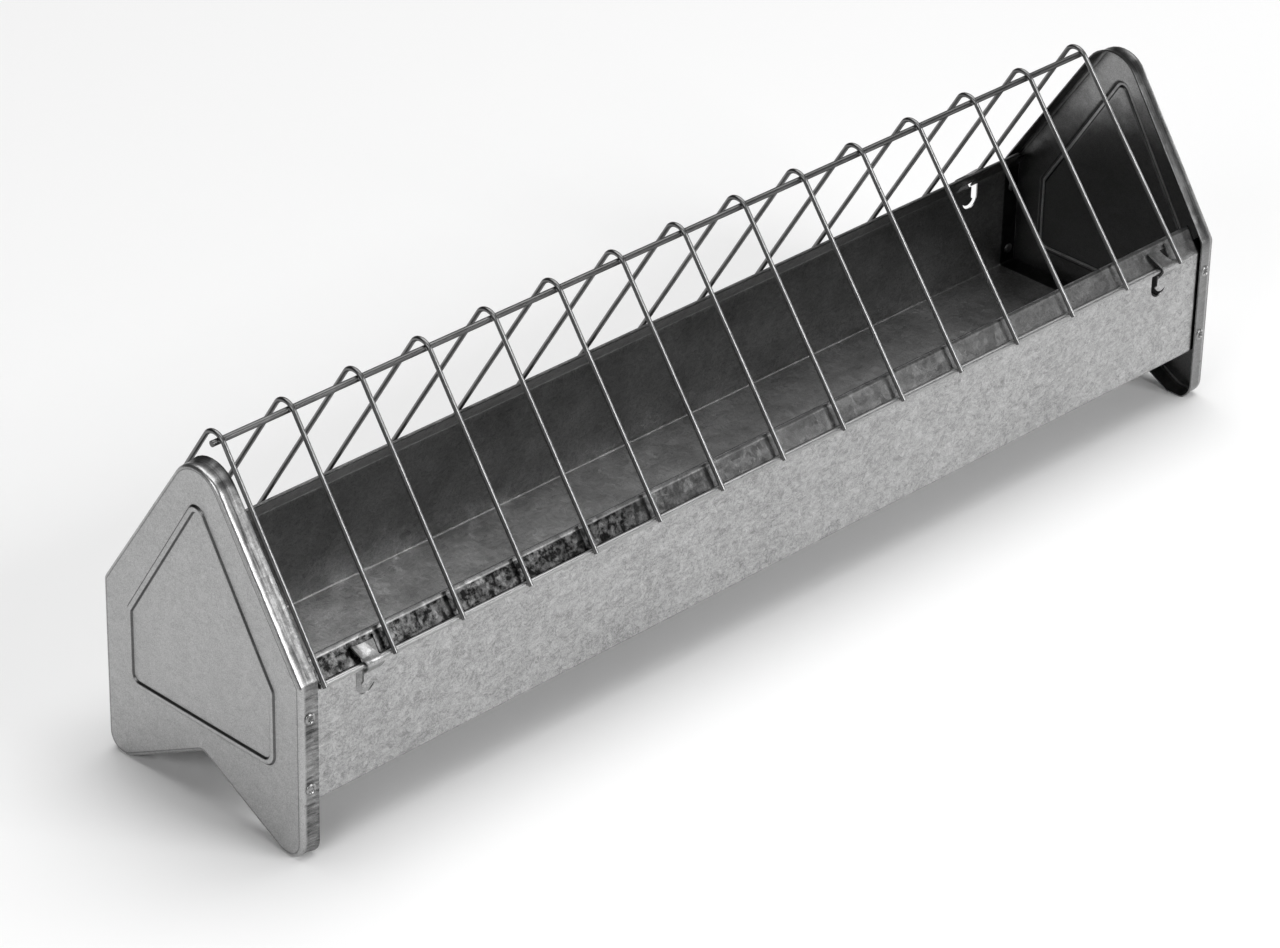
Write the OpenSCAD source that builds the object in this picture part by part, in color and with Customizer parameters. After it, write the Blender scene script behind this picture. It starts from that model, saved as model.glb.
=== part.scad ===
// Trough feeder for poultry: a folded sheet trough between two pressed end plates,
// with a wire grille that slides along the lips and swings up about its rear rail.
// X runs along the trough, front is -Y, the feet stand on Z = 0.

/* [Overall] */
// Length over the faces of the two end plates
overall_len = 500; // [420:10:560]
// Thickness of the galvanised sheet
sheet = 0.6; // [0.5:0.1:0.8]

/* [End plates] */
// Width over the flanges of an end plate
plate_w = 106; // [100:1:120]
// Height of the shoulders, where the sides turn into the slopes
shoulder_z = 73; // [71:0.5:76]
// Steepness of the two slopes, in degrees
plate_slope = 56; // [54:0.5:57]
// Radius of the rounded top
apex_r = 14; // [10:1:18]
// Radius of the outer corners of the feet
foot_r = 7.5; // [5:0.5:8]
// Height of the notch between the feet
notch_z = 22.5; // [18:0.5:22.5]
// Steepness of the notch's two edges, in degrees
notch_angle = 28; // [26:0.5:30]
// Depth of the flange that is turned towards the trough
flange_d = 8.1; // [7:0.1:8.4]
// Distance from the plate's sides to the pressed bead
bead_inset = 13; // [12:0.5:16]
// Steepness of the bead's two slopes, in degrees
bead_slope = 57.8; // [56.2:0.2:58.2]
// Height at which the bead's two slopes would meet
bead_peak_z = 129.8; // [126:0.2:130]
// Width of the pressed bead
bead_w = 3.4; // [3:0.1:4]
// How far the bead stands out of the plate's face
bead_rise = 0.9; // [0.5:0.1:1.2]

/* [Trough] */
// Height of the floor's underside
floor_z = 23.1; // [23:0.1:26]
// Height of the fold between a wall and its lip
fold_z = 69; // [66:0.5:69]
// Length of a lip from the fold to its hem, measured along its slope
lip_len = 12.2; // [11:0.2:14]
// Steepness of the lips and of the grille's legs, in degrees
lip_angle = 57; // [57:0.5:59]
// Width of the hem, where the lip's edge is folded back on itself
hem_w = 3.6; // [3:0.2:4.4]
// Inner radius of the folds
fold_r = 0.8; // [0.5:0.1:1.2]

/* [Clips] */
// Distance from the trough's middle to the hook slot of a left clip
left_slot_x = 223; // [200:1:224]
// Distance from the trough's middle to the hook slot of a right clip
right_slot_x = 212; // [200:0.5:214]
// Width of the hook slot's stroke
slot_w = 3.8; // [3:0.2:4]
// Width of a clip's tongue at its root
tongue_w = 8; // [6:0.5:9]
// How far the tongue leans to the left on its way up
tongue_lean = 3.2; // [0:0.2:4]

/* [Grille] */
// Distance between neighbouring wires along the rails
wire_pitch = 33.3; // [28:0.1:33.3]
// Distance between neighbouring wires along the ridge rod
ridge_pitch = 32.78; // [27.5:0.02:33.3]
// How far the top of the first wire stands left of its feet
ridge_shift = 0.9; // [0:0.1:1]
// Distance from the left flange's edge to the first wire, with the grille at the left
first_wire_gap = 2.2; // [2.2:0.1:3]
// How far the rails stand out to the left of the first wire
rail_left = 1; // [1:0.1:1.6]
// How far the rails stand out to the right of the last wire
rail_right = 2.5; // [1:0.1:3]
// How far the ridge rod stands out to the left of the first wire
ridge_left = 3.5; // [1:0.1:4]
// How far the ridge rod stands out to the right of the last wire
ridge_right = 1; // [1:0.1:3]
// Diameter of the bent wires
wire_d = 2; // [1.6:0.1:2]
// Diameter of the two rails
rail_d = 2.2; // [2:0.1:2.4]
// Diameter of the ridge rod
ridge_d = 2.5; // [2:0.1:2.6]
// Radius of the bend at the top of a wire, on its centre line
wire_bend_r = 5.5; // [5:0.5:8]
// How far round the bend the ridge rod sits, in degrees from the top of the leg
ridge_turn = 20; // [10:1:30]

/* [Rivets] */
// Diameter of a rivet's head
rivet_head_d = 4.8; // [4:0.1:5.4]
// Diameter of a rivet's shank
rivet_shank_d = 3; // [2.4:0.1:3.2]
// Height of the upper rivets
upper_rivet_z = 59.5; // [54:0.5:60]
// Height of the lower rivets
lower_rivet_z = 30; // [28:0.5:36]

/* [Hidden] */
// Wire count, fixed by the list of nodes
WIRES = 15;
function wire_name(k) = str("wire_", k < 10 ? "0" : "", k);
RIVET_SIDES = ["front_left", "front_right", "rear_left", "rear_right"];

// Colours of the bare metal
SHEET_COLOUR = [0.66, 0.68, 0.70];
PLATE_COLOUR = [0.72, 0.73, 0.75];
WIRE_COLOUR = [0.50, 0.51, 0.53];
RIVET_COLOUR = [0.56, 0.57, 0.60];

// Segments of a rounded corner, and of a wire's round section
CORNER_STEPS = 6;
ROUND = 40;
// Slack that makes one solid cut cleanly through another
CUT = 1;
// Gap between parts that are slid together
FIT = 0.05;
// Depth to which welded wires sink into each other
WELD_SINK = 0.2;
// How much wider than the wire the ball in a leg's seam is
SEAM = 0.03;
// Gap between the rear rail and the lip under it
RAIL_GAP = 0.15;
// How far a rail lies above the fold, along the lip
RAIL_RISE = 1.1;

half_len = overall_len / 2;
half_w = plate_w / 2;
flange_x = half_len - flange_d;
wall_y = half_w - sheet - FIT;
trough_x = half_len - sheet - 4 * FIT;
lip_x = flange_x - 0.5;

// Unit vectors in the (Y, Z) plane of the rear half: up along a lip, and out of it
lip_up = [-cos(lip_angle), sin(lip_angle)];
lip_out = [sin(lip_angle), cos(lip_angle)];
fold = [wall_y, fold_z];

// Distances from the lip's surface to the centre lines of rails and legs
rear_rail_out = RAIL_GAP + rail_d / 2;
leg_out = rear_rail_out + rail_d / 2 + FIT + wire_d / 2;
front_rail_out = leg_out - (rail_d + wire_d) / 2 + WELD_SINK;

rear_rail_at = fold + RAIL_RISE * lip_up + rear_rail_out * lip_out;
front_rail_at = fold + RAIL_RISE * lip_up + front_rail_out * lip_out;
leg_end = fold + leg_out * lip_out;

// Crossing point of the two legs' centre lines, and the bend inside it
crossing_z = leg_end[1] + leg_end[0] * tan(lip_angle);
bend_z = crossing_z - wire_bend_r / cos(lip_angle);
leg_top = [0, bend_z] + wire_bend_r * lip_out;
leg_len = norm(leg_top - leg_end);

// Ridge rod, welded inside the front of the bends
ridge_at = [0, bend_z]
    + (wire_bend_r - (ridge_d + wire_d) / 2 + WELD_SINK) * turned(lip_out, ridge_turn);

// The grille rests at the left end of its play
first_wire_x = -flange_x + first_wire_gap;
function wire_x(k) = first_wire_x + (k - 1) * wire_pitch;
function ridge_x(k) = first_wire_x - ridge_shift + (k - 1) * ridge_pitch;

// Each wire leans to the left about the line through its two lower ends
function wire_lean(k) = asin((wire_x(k) - ridge_x(k)) / (ridge_at[1] - leg_end[1]));

// Rivets sit in the middle of the flange's depth
rivet_x = half_len - flange_d / 2 - sheet;
rivet_head_h = 0.8;

// --- Plane geometry ---

function unit(v) = v / norm(v);
function left_of(v) = [-v[1], v[0]];
function turned(v, a) = [v[0] * cos(a) - v[1] * sin(a), v[0] * sin(a) + v[1] * cos(a)];

// Meeting point of the line through p along u and the line through q along v
function meet(p, u, q, v) = p + u * (cross(q - p, v) / cross(u, v));

// Closed outline with edge i (from point i to point i + 1) moved to the left by d[i]
function inset(points, d) = [
    for (i = [0:len(points) - 1])
        let (
            n = len(points),
            before = (i + n - 1) % n,
            u = unit(points[i] - points[before]),
            v = unit(points[(i + 1) % n] - points[i])
        )
        meet(points[i] + d[before] * left_of(u), u, points[i] + d[i] * left_of(v), v)
];

// Arc of radius r that rounds the corner a-b-c
function corner(a, b, c, r) =
    let (
        u = unit(b - a),
        v = unit(c - b),
        side = cross(u, v) > 0 ? 1 : -1,
        turn = acos(u * v),
        start = b - u * r * tan(turn / 2),
        centre = start + side * r * left_of(u)
    )
    r <= 0 ? [b] : [
        for (i = [0:CORNER_STEPS])
            centre + turned(start - centre, side * turn * i / CORNER_STEPS)
    ];

// Closed outline with the corner at point i rounded to radius r[i]
function rounded(points, r) = [
    for (i = [0:len(points) - 1])
        let (n = len(points))
        each corner(points[(i + n - 1) % n], points[i], points[(i + 1) % n], r[i])
];

// Open path moved to the left by d
function moved_path(points, d) = [
    for (i = [0:len(points) - 1])
        let (
            last = len(points) - 1,
            u = unit(points[max(i, 1)] - points[max(i, 1) - 1]),
            v = unit(points[min(i + 1, last)] - points[min(i + 1, last) - 1])
        )
        i == 0 || i == last
            ? points[i] + d * left_of(i == 0 ? v : u)
            : meet(points[i] + d * left_of(u), u, points[i] + d * left_of(v), v)
];

// Section of a sheet bent along a path: the path is its right face
function bent_sheet(path, thick, r) =
    let (
        last = len(path) - 1,
        other = moved_path(path, thick),
        turns_left = [
            for (i = [1:last - 1])
                cross(path[i] - path[i - 1], path[i + 1] - path[i]) > 0
        ],
        near = [for (i = [1:last - 1]) turns_left[i - 1] ? r + thick : r],
        far = [for (i = [1:last - 1]) turns_left[i - 1] ? r : r + thick]
    )
    concat(
        [path[0]],
        [for (i = [1:last - 1]) each corner(path[i - 1], path[i], path[i + 1], near[i - 1])],
        [path[last], other[last]],
        [for (i = [last - 1:-1:1]) each corner(other[i + 1], other[i], other[i - 1], far[i - 1])],
        [other[0]]
    );

// --- Placing ---

// Takes a shape drawn in (Y, Z) and extruded upwards, and lays it along X
module along_x(from = 0) {
    translate([from, 0, 0]) rotate([90, 0, 90]) children();
}

// Turns a part of the left or front end round to the other end
module turned_round() {
    rotate([0, 0, 180]) children();
}

// --- End plates ---

// Outline of an end plate, anticlockwise from the top
plate_points = [
    [0, shoulder_z + half_w * tan(plate_slope)],
    [-half_w, shoulder_z],
    [-half_w, 0],
    [-notch_z / tan(notch_angle), 0],
    [0, notch_z],
    [notch_z / tan(notch_angle), 0],
    [half_w, 0],
    [half_w, shoulder_z]
];
plate_radii = [apex_r, 4, foot_r, 6, 4, 6, foot_r, 4];

// Inside of the flange, which follows every edge: only the notch's own corner opens out
flange_inset = [for (p = plate_points) sheet];
flange_radii = [
    for (i = [0:len(plate_radii) - 1])
        plate_radii[i] + (i == 4 ? sheet : -sheet)
];

// Outline of the bead: a pentagon, upright at its sides and level at the bottom
bead_half_w = half_w - bead_inset;
bead_shoulder_z = bead_peak_z - bead_half_w * tan(bead_slope);
bead_bottom_z = notch_z + 11;
bead_outline = [
    [0, bead_peak_z],
    [-bead_half_w, bead_shoulder_z],
    [-bead_half_w, bead_bottom_z],
    [bead_half_w, bead_bottom_z],
    [bead_half_w, bead_shoulder_z]
];
bead_radii = [4, 4, 6, 6, 4];

module bead_shape(inward) {
    polygon(rounded(
        inset(bead_outline, [for (p = bead_outline) inward]),
        [for (r = bead_radii) max(r - inward, 0.4)]
    ));
}

module bead_ring(from, to) {
    difference() {
        bead_shape(from);
        bead_shape(to);
    }
}

// One end plate, drawn in (Y, Z) with its outer face down and its flange up
module plate_pressing() {
    difference() {
        union() {
            difference() {
                linear_extrude(flange_d) polygon(rounded(plate_points, plate_radii));
                translate([0, 0, sheet]) linear_extrude(flange_d)
                    polygon(rounded(inset(plate_points, flange_inset), flange_radii));
            }
            translate([0, 0, -bead_rise]) linear_extrude(bead_rise + sheet / 2)
                bead_ring(0, bead_w);
        }
        translate([0, 0, sheet - bead_rise]) linear_extrude(bead_rise + CUT)
            bead_ring(sheet, bead_w - sheet);
    }
}

// Holes for the four rivets at the left end
module rivet_holes() {
    for (z = [upper_rivet_z, lower_rivet_z])
        translate([-rivet_x, 0, z]) rotate([90, 0, 0])
            cylinder(h = plate_w + 2 * CUT, d = rivet_shank_d + 2 * FIT, center = true, $fn = ROUND);
}

module left_end_plate() {
    color(PLATE_COLOUR) difference() {
        along_x(-half_len) plate_pressing();
        rivet_holes();
    }
}

module right_end_plate() {
    turned_round() left_end_plate();
}

// --- Trough ---

// Outer edge of the rear hem
hem_edge = fold + lip_len * lip_up;

// Section of the whole folded sheet, outside first
section_path = [
    [-hem_edge[0], hem_edge[1]],
    [-fold[0], fold[1]],
    [-wall_y, floor_z],
    [wall_y, floor_z],
    fold,
    hem_edge
];

// The return of the hem lies flat against the underside of the lip
module rear_hem() {
    start = hem_edge - sheet * lip_out;
    along_x(-lip_x) linear_extrude(2 * lip_x) polygon([
        start,
        start - hem_w * lip_up,
        start - hem_w * lip_up - sheet * lip_out,
        start - sheet * lip_out
    ]);
}

// Hook slot in a wall, drawn in (X, Z) with the stroke's left edge and the fold at the origin
module hook_slot() {
    translate([0, -6.1]) square([slot_w, 6]);
    difference() {
        translate([4.5, -6.1]) circle(r = 4.5, $fn = ROUND);
        translate([6.1, -5.1]) circle(r = 3.5, $fn = ROUND);
        translate([slot_w, -6.1]) square(6);
    }
}

// Window right of the stroke, in the wall and the front lip, out of which the tongue was bent
window_len = lip_len - hem_w + 1.2;
window_w = tongue_w + 0.6;
module clip_window() {
    translate([slot_w, -fold[0], fold[1]]) rotate([lip_angle, 0, 0])
        translate([0, 0, -2 * sheet]) cube([window_w, window_len, 4 * sheet]);
    translate([slot_w, -wall_y - 2 * sheet, tongue_root_z + 1.2])
        cube([window_w, 4 * sheet, fold_z - tongue_root_z - 0.6]);
}

// Tongue at the front: out of the wall, round the rail and up beside the lip
tongue_root_z = fold_z - 1.8;
tongue_path = [
    [-wall_y + 0.55, tongue_root_z - 1],
    [-wall_y - 2.9, fold_z + 1.2],
    [-wall_y - 1.7, fold_z + 4],
    [-wall_y + 3.2, fold_z + 8.2]
];

// The tongue's outline seen from the front, from its root to its tip
tongue_outline = [
    [0, tongue_root_z - 3],
    [tongue_w, tongue_root_z - 3],
    [tongue_w, fold_z - 1],
    [tongue_w - tongue_lean, fold_z + 12],
    [-tongue_lean, fold_z + 12],
    [0, fold_z - 1]
];

module tongue() {
    intersection() {
        along_x(-2 * tongue_lean) linear_extrude(tongue_w + 3 * tongue_lean)
            polygon(bent_sheet(tongue_path, sheet, fold_r));
        translate([0, -wall_y + 10, 0]) rotate([90, 0, 0])
            linear_extrude(20) polygon(tongue_outline);
    }
}

// What is cut away for one clip at the front, with the stroke's left edge at x
module clip_cuts(x) {
    translate([x, -wall_y + 2 * sheet, fold_z]) rotate([90, 0, 0])
        linear_extrude(4 * sheet) hook_slot();
    translate([x, 0, 0]) clip_window();
}

module folded_sheet() {
    along_x(-trough_x) linear_extrude(2 * trough_x)
        polygon(bent_sheet(section_path, sheet, fold_r));
}

// Space of the end plates' flanges, into which the lips don't reach
module lip_ends() {
    for (side = [-1, 1])
        translate([side * (lip_x + half_len) - half_len, -half_w, fold_z - 1.5])
            cube([overall_len, plate_w, lip_len + 3]);
}

module front_clips() {
    for (x = [-left_slot_x, right_slot_x])
        translate([x + slot_w + 0.3, 0, 0]) tongue();
}

module front_clip_cuts() {
    for (x = [-left_slot_x, right_slot_x])
        clip_cuts(x);
}

module trough() {
    color(SHEET_COLOUR) difference() {
        union() {
            difference() {
                union() {
                    folded_sheet();
                    rear_hem();
                    turned_round() rear_hem();
                }
                lip_ends();
                front_clip_cuts();
                turned_round() front_clip_cuts();
            }
            front_clips();
            turned_round() front_clips();
        }
        rivet_holes();
        turned_round() rivet_holes();
    }
}

// --- Grille ---

// Straight wire of diameter d along X, through the point p of the (Y, Z) plane
module long_wire(p, from, to, d) {
    color(WIRE_COLOUR) translate([from, p[0], p[1]]) rotate([0, 90, 0])
        cylinder(h = to - from, d = d, $fn = ROUND);
}

module ridge_rod() {
    long_wire(
        [-ridge_at[0], ridge_at[1]],
        ridge_x(1) - ridge_left, ridge_x(WIRES) + ridge_right, ridge_d
    );
}

module front_rail() {
    long_wire(
        [-front_rail_at[0], front_rail_at[1]],
        wire_x(1) - rail_left, wire_x(WIRES) + rail_right, rail_d
    );
}

module rear_rail() {
    long_wire(rear_rail_at, wire_x(1) - rail_left, wire_x(WIRES) + rail_right, rail_d);
}

// Rear leg from its lower end up to the bend, with a ball that closes the seam there
module rear_leg() {
    translate([0, leg_end[0], leg_end[1]]) rotate([90 - lip_angle, 0, 0]) union() {
        cylinder(h = leg_len, d = wire_d, $fn = ROUND);
        translate([0, 0, leg_len]) sphere(d = wire_d + SEAM, $fn = ROUND);
    }
}

// One wire, upright: two straight legs and a round bend
module upright_wire() {
    union() {
        rear_leg();
        mirror([0, 1, 0]) rear_leg();
        translate([0, 0, bend_z]) rotate([90 - lip_angle, 0, 0]) rotate([90, 0, 90])
            rotate_extrude(angle = 2 * lip_angle, $fn = 2 * ROUND)
                translate([wire_bend_r, 0]) circle(d = wire_d, $fn = ROUND);
    }
}

module bent_wire(k) {
    color(WIRE_COLOUR) translate([wire_x(k), 0, leg_end[1]]) rotate([0, -wire_lean(k), 0])
        translate([0, 0, -leg_end[1]]) upright_wire();
}

// --- Rivets ---

// Domed head standing on the plane Z = 0
module rivet_head() {
    dome_r = (pow(rivet_head_d / 2, 2) + pow(rivet_head_h, 2)) / (2 * rivet_head_h);
    intersection() {
        translate([0, 0, rivet_head_h - dome_r]) sphere(r = dome_r, $fn = 2 * ROUND);
        translate([-rivet_head_d, -rivet_head_d, 0])
            cube([2 * rivet_head_d, 2 * rivet_head_d, 2 * rivet_head_h]);
    }
}

// Rivet at the rear right, through the flange and the wall, heads on both
module rivet(z) {
    grip = half_w - (wall_y - sheet);
    color(RIVET_COLOUR) translate([rivet_x, half_w, z]) rotate([-90, 0, 0]) union() {
        rivet_head();
        translate([0, 0, -grip]) cylinder(h = grip, d = rivet_shank_d, $fn = ROUND);
        translate([0, 0, -grip]) mirror([0, 0, 1]) rivet_head();
    }
}

module placed_rivet(side, z) {
    if (side == "rear_right") rivet(z);
    if (side == "rear_left") mirror([1, 0, 0]) rivet(z);
    if (side == "front_right") mirror([0, 1, 0]) rivet(z);
    if (side == "front_left") turned_round() rivet(z);
}

trough();
left_end_plate();
right_end_plate();
ridge_rod();
front_rail();
rear_rail();
for (k = [1:WIRES])
    bent_wire(k);
for (side = RIVET_SIDES) {
    placed_rivet(side, upper_rivet_z);
    placed_rivet(side, lower_rivet_z);
}
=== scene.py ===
"""Looks of the trough feeder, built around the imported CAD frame. Lengths are in millimetres
until a mesh is made; Blender's objects are in metres."""

from math import acos, asin, ceil, cos, hypot, pi, radians, sin, tan

import bmesh
import bpy
from mathutils import Matrix, Vector, noise
from mathutils.geometry import delaunay_2d_cdt, tessellate_polygon

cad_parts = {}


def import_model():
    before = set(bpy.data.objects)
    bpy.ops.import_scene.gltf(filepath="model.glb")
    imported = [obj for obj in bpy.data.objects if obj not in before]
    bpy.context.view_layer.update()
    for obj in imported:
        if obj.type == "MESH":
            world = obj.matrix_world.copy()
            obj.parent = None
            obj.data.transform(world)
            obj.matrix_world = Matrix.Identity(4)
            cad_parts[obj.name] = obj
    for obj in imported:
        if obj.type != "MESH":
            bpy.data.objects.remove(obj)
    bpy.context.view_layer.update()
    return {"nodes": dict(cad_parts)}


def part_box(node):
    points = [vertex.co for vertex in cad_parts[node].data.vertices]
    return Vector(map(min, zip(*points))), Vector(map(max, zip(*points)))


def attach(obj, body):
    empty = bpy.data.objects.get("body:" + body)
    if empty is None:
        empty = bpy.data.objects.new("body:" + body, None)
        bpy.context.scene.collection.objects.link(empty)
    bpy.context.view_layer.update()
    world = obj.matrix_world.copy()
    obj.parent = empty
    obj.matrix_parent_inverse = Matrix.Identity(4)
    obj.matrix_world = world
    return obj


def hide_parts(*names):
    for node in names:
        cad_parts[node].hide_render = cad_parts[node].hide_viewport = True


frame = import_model()

MM = 0.001


def box_mm(node):
    low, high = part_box(node)
    return Vector(low) / MM, Vector(high) / MM


# --- Named sizes, in millimetres ---

SHEET = 0.6
BEND_R = 1.6

plate_low, plate_high = box_mm("left_end_plate")
BEAD_RISE = 0.9
HALF_LEN = -plate_low.x - BEAD_RISE
HALF_W = plate_high.y
FLANGE_D = plate_high.x + HALF_LEN
SHOULDER_Z = 73.0
PLATE_SLOPE = radians(56)
APEX_R = 14.0
SHOULDER_R = 4.0
FOOT_R = 7.5
TOE_R = 6.0
NOTCH_R = 4.0
NOTCH_Z = 22.5
NOTCH_ANGLE = radians(28)
BEAD_INSET = 13.0
BEAD_SLOPE = radians(57.8)
BEAD_PEAK_Z = 129.8
BEAD_W = 3.4
BEAD_ABOVE_NOTCH = 11.0
# How far the flange's free edge is pulled in (or, below zero, stands out)
FLANGE_FLARE = -0.6
# From a bend or the bead out to the line that keeps the face flat beside it
BESIDE = 0.35
# Depth of the waves in the plate's face
FACE_WAVE = 0.12
# How dark the painted shade is on the line where the face meets the bend, and the heights
# on the bead's slope, as shares of its own, between which the bead gets painted shade
BEND_SHADE = 0.8
BEAD_SHADE_FROM, BEAD_SHADE_TO = 0.04, 0.8

trough_low, trough_high = box_mm("trough")
TROUGH_X = trough_high.x
FLOOR_Z = trough_low.z
WALL_Y = HALF_W - SHEET - 0.05
FOLD_Z = 69.0
LIP_LEN = 12.2
LIP_ANGLE = radians(57)
LIP_X = HALF_LEN - FLANGE_D - 0.5
HEM_W = 3.6
FOLD_R = 1.1
SLOT_X = (-223.0, 212.0)
SLOT_W = 3.8
TONGUE_W = 8.0
TONGUE_LEAN = 3.2

WIRES = 15
WIRE_R = 1.0
WIRE_BEND_R = 5.5
# How far a wire's cut end bulges out
BURR = 0.12
# What the drawn skin stays inside the CAD's wire
SKIN = 0.02
# From a leg's end up to its weld on a rail, and from its middle line in to that weld
RAIL_UP = 1.1
WELD_IN = 0.95
ridge_low, ridge_high = box_mm("ridge_rod")

LIP_UP = Vector((-cos(LIP_ANGLE), sin(LIP_ANGLE)))
LIP_OUT = Vector((sin(LIP_ANGLE), cos(LIP_ANGLE)))


# --- Plane geometry ---

def left_of(v):
    return Vector((-v.y, v.x))


def meet(p, u, q, v):
    """Meeting point of the line through p along u and the line through q along v."""
    return p + u * ((q - p).cross(v) / u.cross(v))


def corner(a, b, c, r, steps):
    """Points of the arc of radius r that rounds the corner a-b-c."""
    u = (b - a).normalized()
    v = (c - b).normalized()
    turn = acos(max(-1.0, min(1.0, u.dot(v))))
    if r <= 0 or turn < 1e-4:
        return [b.copy()]
    side = 1 if u.cross(v) > 0 else -1
    start = b - u * (r * tan(turn / 2))
    centre = start + left_of(u) * (side * r)
    spoke = start - centre
    points = []
    for i in range(steps + 1):
        a = side * turn * i / steps
        points.append(centre + Vector((spoke.x * cos(a) - spoke.y * sin(a),
                                       spoke.x * sin(a) + spoke.y * cos(a))))
    return points


def rounded_loop(points, radii, steps=8):
    n = len(points)
    loop = []
    for i in range(n):
        loop += corner(points[i - 1], points[i], points[(i + 1) % n], radii[i], steps)
    return loop


def rounded_path(points, radii, steps=6):
    path = [points[0].copy()]
    for i in range(1, len(points) - 1):
        path += corner(points[i - 1], points[i], points[i + 1], radii[i - 1], steps)
    return path + [points[-1].copy()]


def with_steps(points, longest, closed=False):
    """The same line with points added, so that no step is longer than longest."""
    out = []
    count = len(points)
    for i in range(count if closed else count - 1):
        a, b = points[i], points[(i + 1) % count]
        parts = max(1, ceil((b - a).length / longest))
        out += [a.lerp(b, k / parts) for k in range(parts)]
    return out if closed else out + [points[-1].copy()]


def inward(loop, i):
    """Direction that moves point i of an anticlockwise loop inwards by one, mitred."""
    n = len(loop)
    u = (loop[i] - loop[i - 1]).normalized()
    v = (loop[(i + 1) % n] - loop[i]).normalized()
    m = left_of(u) + left_of(v)
    return m / max(0.5, (1 + u.dot(v)))


def smoothstep(a, b, x):
    t = max(0.0, min(1.0, (x - a) / (b - a)))
    return t * t * (3 - 2 * t)


# --- Making objects ---

def finish_mesh(bm, name, body, node, material, turned=False, thickness=0.0, offset=0.0,
                even=True):
    """Turns a bmesh in millimetres into a piece that stands for a CAD node."""
    bmesh.ops.remove_doubles(bm, verts=bm.verts, dist=1e-4)
    bmesh.ops.dissolve_degenerate(bm, edges=bm.edges, dist=1e-4)
    place = Matrix.Scale(MM, 4)
    if turned:
        place = place @ Matrix.Rotation(pi, 4, "Z")
    bm.transform(place)
    mesh = bpy.data.meshes.new(name)
    bm.to_mesh(mesh)
    bm.free()
    mesh.materials.append(material)
    obj = bpy.data.objects.new(name, mesh)
    bpy.context.scene.collection.objects.link(obj)
    for face in mesh.polygons:
        face.use_smooth = True
    if thickness:
        solid = obj.modifiers.new("sheet", "SOLIDIFY")
        solid.thickness = thickness * MM
        solid.offset = offset
        solid.use_even_offset = even
        solid.use_quality_normals = True
        apply_modifiers(obj)
    obj.data.set_sharp_from_angle(angle=radians(38))
    weighted = obj.modifiers.new("flat_faces", "WEIGHTED_NORMAL")
    weighted.keep_sharp = True
    weighted.weight = 80
    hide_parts(node)
    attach(obj, body)
    return obj


def apply_modifiers(obj):
    depsgraph = bpy.context.evaluated_depsgraph_get()
    mesh = bpy.data.meshes.new_from_object(obj.evaluated_get(depsgraph))
    mesh.name = obj.name
    obj.modifiers.clear()
    obj.data = mesh


def bridge(bm, ring_a, ring_b, closed=True):
    n = len(ring_a)
    for i in range(n if closed else n - 1):
        j = (i + 1) % n
        bm.faces.new((ring_a[i], ring_a[j], ring_b[j], ring_b[i]))


# --- End plates ---

def plate_outline():
    """Anticlockwise outline in (Y, Z)."""
    peak = SHOULDER_Z + HALF_W * tan(PLATE_SLOPE)
    foot = NOTCH_Z / tan(NOTCH_ANGLE)
    corners = [Vector(p) for p in (
        (0, peak), (-HALF_W, SHOULDER_Z), (-HALF_W, 0), (-foot, 0),
        (0, NOTCH_Z), (foot, 0), (HALF_W, 0), (HALF_W, SHOULDER_Z))]
    radii = [APEX_R, SHOULDER_R, FOOT_R, TOE_R, NOTCH_R, TOE_R, FOOT_R, SHOULDER_R]
    return with_steps(rounded_loop(corners, radii, 10), 5.0, closed=True)


def bead_line():
    side = HALF_W - BEAD_INSET
    shoulder = BEAD_PEAK_Z - side * tan(BEAD_SLOPE)
    bottom = NOTCH_Z + BEAD_ABOVE_NOTCH
    corners = [Vector(p) for p in (
        (0, BEAD_PEAK_Z), (-side, shoulder), (-side, bottom), (side, bottom), (side, shoulder))]
    return with_steps(rounded_loop(corners, [5, 4, 6, 6, 4], 10), 5.0, closed=True)


# Rounded section of the bead, as (distance from its outer line, share of its depth)
BEAD_SECTION = [(0, 0), (0.22, 0.05), (0.45, 0.3), (0.68, 0.72), (0.95, 0.94), (1.3, 1.0)]


def dent(x, y, z, size=45.0, seed=0.0):
    """Low waves of a thin sheet, between about -1 and 1."""
    return noise.noise(Vector((x / size + seed, y / size - seed, z / size + 2 * seed)))


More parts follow.
